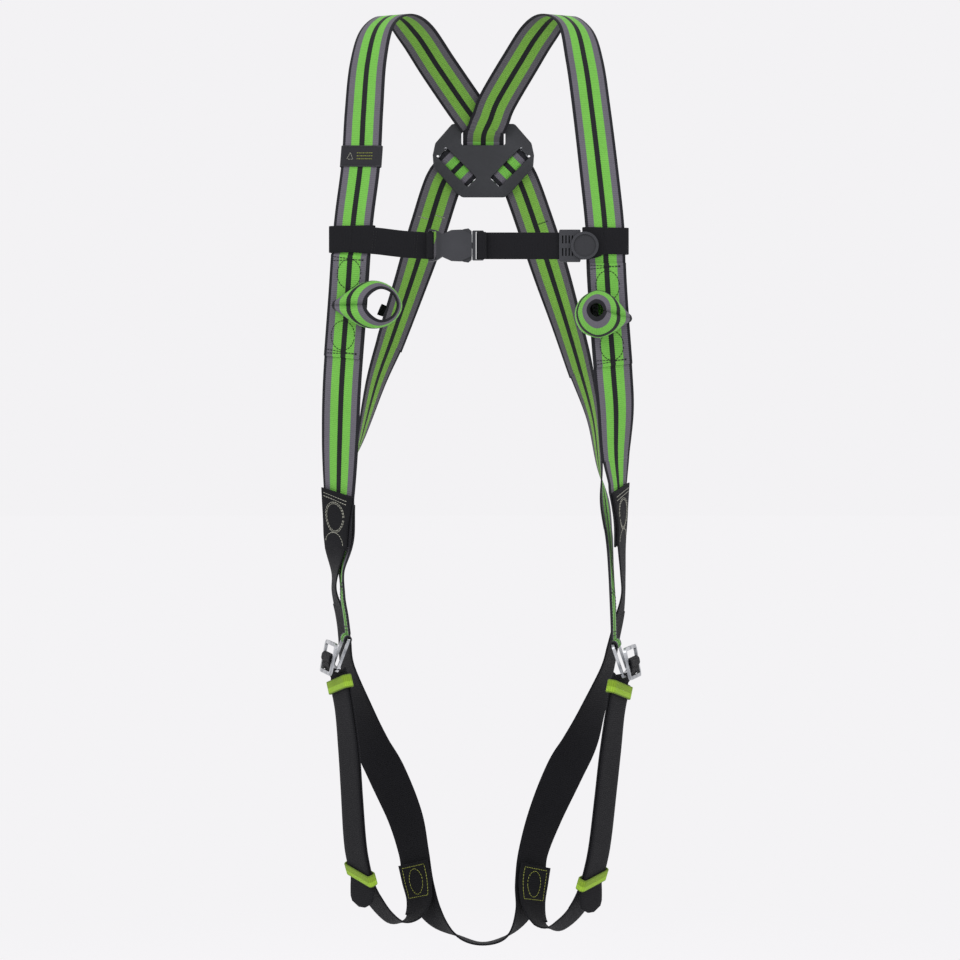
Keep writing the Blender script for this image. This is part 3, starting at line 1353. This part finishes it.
@dataclass
class LegStrap:
    """One thigh strap from the seat strap up to its steel buckle, with its tail and keepers."""

    side: Side
    route: list[Row]
    buckle: Station
    upper_keeper: float
    lower_keeper: float
    tail_bend: float
    tail_top: float = -763.0
    tail_free: float = 29.0
    tail_offset: float = 3.0

    def build(self) -> None:
        """Build the strap, tail, buckle turn and keepers and dress the buckle."""
        word = self.side.word
        row = stations(self.route)
        strap = Webbing(row)
        settle(strap.mesh(f"leg_strap_{word}_webbing", [Finish.BLACK], Face.NORMAL), "harness",
               "black_webbing", f"leg_strap_{word}")
        lowest = min(range(len(row)), key=lambda k: row[k].centre.z)
        rise = row[lowest:]
        outward = -1.0 if rise[len(rise) // 2].normal.y > 0 else 1.0
        tail = Webbing(self.tail(rise, outward), tip=14.0)
        settle(tail.mesh(f"leg_strap_tail_{word}_webbing", [Finish.BLACK], Face.NORMAL),
               "harness", "black_webbing", f"leg_strap_tail_{word}")
        head = crossbar_turn(self.buckle, 0.0, 4.0, 7.0)
        settle(head.mesh(f"leg_strap_head_{word}_webbing", [Finish.BLACK], Face.NORMAL),
               f"leg_plate_{word}", "black_webbing", f"leg_strap_head_{word}")
        self.neck(rise[-1])
        dress(f"leg_buckle_frame_{word}", Finish.STEEL, 0.6)
        dress(f"leg_buckle_plate_{word}", Finish.STEEL, 0.6)
        for level, height in (("upper", self.upper_keeper), ("lower", self.lower_keeper)):
            self.keeper(level, at_height(rise, height), outward)
        self.sew(strap, Face.REVERSE if outward > 0 else Face.NORMAL)

    def tail(self, rise: Sequence[Station], outward: float) -> list[Station]:
        """Return the tail's stations, on the strap above its bend and hanging below it.

        Args:
            rise: Stations of the strap's rising front part, lowest first.
            outward: Sign along the normal on which the tail lies.
        """
        flat = [s.moved(self.tail_offset * outward) for s in span(rise, self.tail_bend,
                                                                  self.tail_top)]
        across = Vector((flat[0].across.x, flat[0].across.y, 0)).normalized()
        normal = Vector((0, 0, 1)).cross(across)
        free = [Station(flat[0].centre - Vector((0, 0, self.tail_free * share)), across,
                        normal, Vector((0, 0, 1))) for share in (1.0, 0.8, 0.6, 0.4, 0.2)]
        return free + flat

    def neck(self, top: Station) -> None:
        """Build the short run of webbing between the strap's top and the plate's crossbar.

        It starts on the strap and follows the frame at the other end, where it goes around the
        crossbar on which the plate tilts.

        Args:
            top: The strap's highest station.
        """
        lift = 1.0 if (self.buckle.centre - top.centre).dot(top.normal) > 0 else -1.0
        same = 1.0 if self.buckle.across.dot(top.across) > 0 else -1.0
        seat = top.centre + top.normal * lift * 1.3
        keys = [self.buckle.at(0, 0, -3), self.buckle.at(0, 0, -10),
                seat + Vector((0, 0, 4)), seat]
        turns = [self.buckle.across, self.buckle.across, top.across * same, top.across * same]
        steps = 6
        places = [divmod(k, steps) for k in range(steps * (len(keys) - 1))]
        points = [curve_point(keys, index, k / steps) for index, k in places]
        sides = [curve_point(turns, index, k / steps).normalized() for index, k in places]
        word = self.side.word
        piece = Webbing(framed(points, sides), width=WEB_WIDTH - 1.0).mesh(
            f"leg_strap_neck_{word}_webbing", [Finish.BLACK], Face.NORMAL)
        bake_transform(piece)
        LOG.info("%s: bends with the leg buckle's frame", piece.name)

    def keeper(self, level: str, here: Station, outward: float) -> None:
        """Build one elastic keeper round the strap and its tail.

        Args:
            level: "upper" or "lower".
            here: Station of the strap at the keeper.
            outward: Sign along the normal on which the tail lies.
        """
        word = self.side.word
        place = here.moved(self.tail_offset / 2 * outward)
        row = racetrack(place, (WEB_WIDTH + 2.4 + 2) / 2, (2 * WEB_THICK + 3.2 + 2) / 2, 3.0)
        band = Webbing(row, width=15.0, thick=2.0, closed=True)
        settle(band.mesh(f"keeper_{level}_{word}_elastic", [Finish.LIME], Face.NORMAL),
               f"keeper_{level}_{word}", "lime_elastic", f"keeper_{level}_{word}")

    def sew(self, strap: Webbing, face: Face) -> None:
        """Sew the strap's rear end to the seat strap."""
        paths = [strap.on_face(face, ring_marks(0, 22, 10, 15)),
                 strap.on_face(face, line_marks((-17, 4), (17, 4), (17, 40), (-17, 40),
                                                (-17, 4)))]
        Stitching(Finish.OLIVE_THREAD, radius=0.4).sew(
            f"crotch_seams_{self.side.word}", paths, "harness", "black_webbing")


# ---- studio -------------------------------------------------------------------------------
@dataclass(frozen=True)
class Studio:
    """Plain pale floor, soft light and a level camera in front of the harness."""

    distance: float = 4.0
    height: float = -0.534
    lens: float = 129.97
    floor: float = -1.19

    def build(self) -> None:
        """Make the floor, world, lights and camera."""
        scene = bpy.context.scene
        scene.view_settings.view_transform = "Standard"
        scene.view_settings.look = "None"
        self.ground()
        world = bpy.data.worlds.new("even_studio_light")
        scene.world = world
        world.use_nodes = True
        back = world.node_tree.nodes["Background"]
        back.inputs["Color"].default_value = linear("#F3F2F4")
        back.inputs["Strength"].default_value = 1.0
        self.lamp("key", (-1.6, -2.6, 1.3), 1.8, 26.0)
        self.lamp("fill", (2.0, -2.2, 0.1), 1.6, 9.0)
        self.lamp("rim", (0.4, 2.4, 1.2), 1.4, 10.0)
        data = bpy.data.cameras.new("camera")
        data.lens = self.lens
        data.sensor_width = 36.0
        camera = bpy.data.objects.new("camera", data)
        camera.location = (0.0, -self.distance, self.height)
        camera.rotation_euler = (math.pi / 2, 0.0, 0.0)
        scene.collection.objects.link(camera)
        scene.camera = camera

    def ground(self) -> None:
        """Make the floor as one wide sheet of paper."""
        mesh = bpy.data.meshes.new("floor")
        rings, turns = (0.0, 0.5, 1.2, 3.0, 12.0, 60.0), 48
        points = [(0.0, 0.0, self.floor)]
        points += [(r * math.cos(2 * math.pi * k / turns), r * math.sin(2 * math.pi * k / turns),
                    self.floor) for r in rings[1:] for k in range(turns)]
        faces: list[tuple[int, ...]] = [(0, 1 + k, 1 + (k + 1) % turns) for k in range(turns)]
        for ring in range(len(rings) - 2):
            near, far = 1 + ring * turns, 1 + (ring + 1) * turns
            faces += [(near + k, far + k, far + (k + 1) % turns, near + (k + 1) % turns)
                      for k in range(turns)]
        mesh.from_pydata(points, [], faces)
        mesh.materials.append(Finish.PAPER.material())
        piece = bpy.data.objects.new("floor", mesh)
        bpy.context.scene.collection.objects.link(piece)
        piece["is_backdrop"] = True

    def lamp(self, name: str, place: tuple[float, float, float], size: float,
             power: float) -> None:
        """Add one soft lamp aimed at the middle of the harness."""
        data = bpy.data.lights.new(name, "AREA")
        data.shape = "DISK"
        data.size = size
        data.energy = power
        piece = bpy.data.objects.new(name, data)
        piece.location = place
        aim = Vector((0.0, 0.0, -0.45)) - Vector(place)
        piece.rotation_euler = aim.to_track_quat("-Z", "Y").to_euler()
        bpy.context.scene.collection.objects.link(piece)


def corners() -> list[list[float]]:
    """Return the shown object's lowest and highest corners as plain numbers."""
    return [[float(value) for value in corner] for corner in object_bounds()]


def main() -> None:
    """Build the studio and every sub-assembly in order."""
    logging.basicConfig(level=logging.INFO, format="%(name)s: %(message)s")
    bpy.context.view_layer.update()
    Studio().build()
    frame_left = upright((-158.5, -61, -731), (0.15, -0.99, 0), -0.38)
    frame_right = upright((159.7, -61, -737.5), (0.15, 0.99, 0), 0.34)
    plate_left = upright((-171.6, -69, -735.4), (0.25, -0.97, 0), -0.2)
    plate_right = upright((172.8, -69, -740.5), (0.26, 0.97, 0), 0.18)
    ShoulderStrap(Side.LEFT, LEFT_ROW, frame_right, bar_tacks=(-232.0, -240.0)).build()
    ShoulderStrap(Side.RIGHT, RIGHT_ROW, frame_left, bar_tacks=(-219.0, -226.0),
                  tack_thread=Finish.GREY_THREAD).build()
    DorsalUnit().build()
    LabelSleeve().build()
    ChestLoop(Side.LEFT, LEFT_FRONT, -282.0, -396.0,
              far=((-92, -104, -338), (-106, -106, -318), (-132, -109, -318),
                   (-154, -115, -331), (-165, -118, -338), (-154, -115, -346),
                   (-132, -109, -358), (-106, -106, -357)),
              middle=((-89, -124, -339), (-99, -132, -321), (-119, -139, -314),
                      (-138, -144, -323), (-146, -144, -339), (-138, -144, -355),
                      (-119, -139, -363), (-99, -132, -357)),
              mouth=((-93, -142, -339), (-98, -146, -327), (-110, -151, -322),
                     (-121, -156, -328), (-127, -157, -339), (-121, -156, -350),
                     (-110, -151, -356), (-98, -146, -351)),
              retainer=(-112, -118, -344), circles=((-303.0, 0.0), (-372.0, -2.0)),
              rows=(-287.0, -391.0)).build()
    ChestLoop(Side.RIGHT, RIGHT_FRONT, -291.0, -405.0,
              far=((109, -112, -349), (117, -112, -332), (137, -112, -332),
                   (157, -114, -344), (169, -117, -353), (157, -114, -359),
                   (137, -112, -368), (117, -112, -366)),
              middle=((110, -142, -348), (116, -143, -333), (131, -145, -325),
                      (147, -147, -333), (153, -148, -350), (147, -147, -365),
                      (131, -145, -372), (116, -143, -364)),
              mouth=((122, -158, -345), (124, -159, -340), (129, -161, -338),
                     (134, -161, -340), (137, -161, -346), (134, -161, -351),
                     (129, -161, -353), (124, -159, -350)),
              retainer=(112, -118, -358), circles=((-316.0, 0.0), (-383.0, 0.0)),
              rows=(-295.0, -400.0)).build()
    ChestStrap().build()
    SeatStrap().build()
    LegStrap(Side.LEFT, LEG_LEFT, plate_left, -765.0, -982.0, -991.0).build()
    LegStrap(Side.RIGHT, LEG_RIGHT, plate_right, -771.0, -988.0, -997.0).build()


if __name__ == "__main__":
    main()
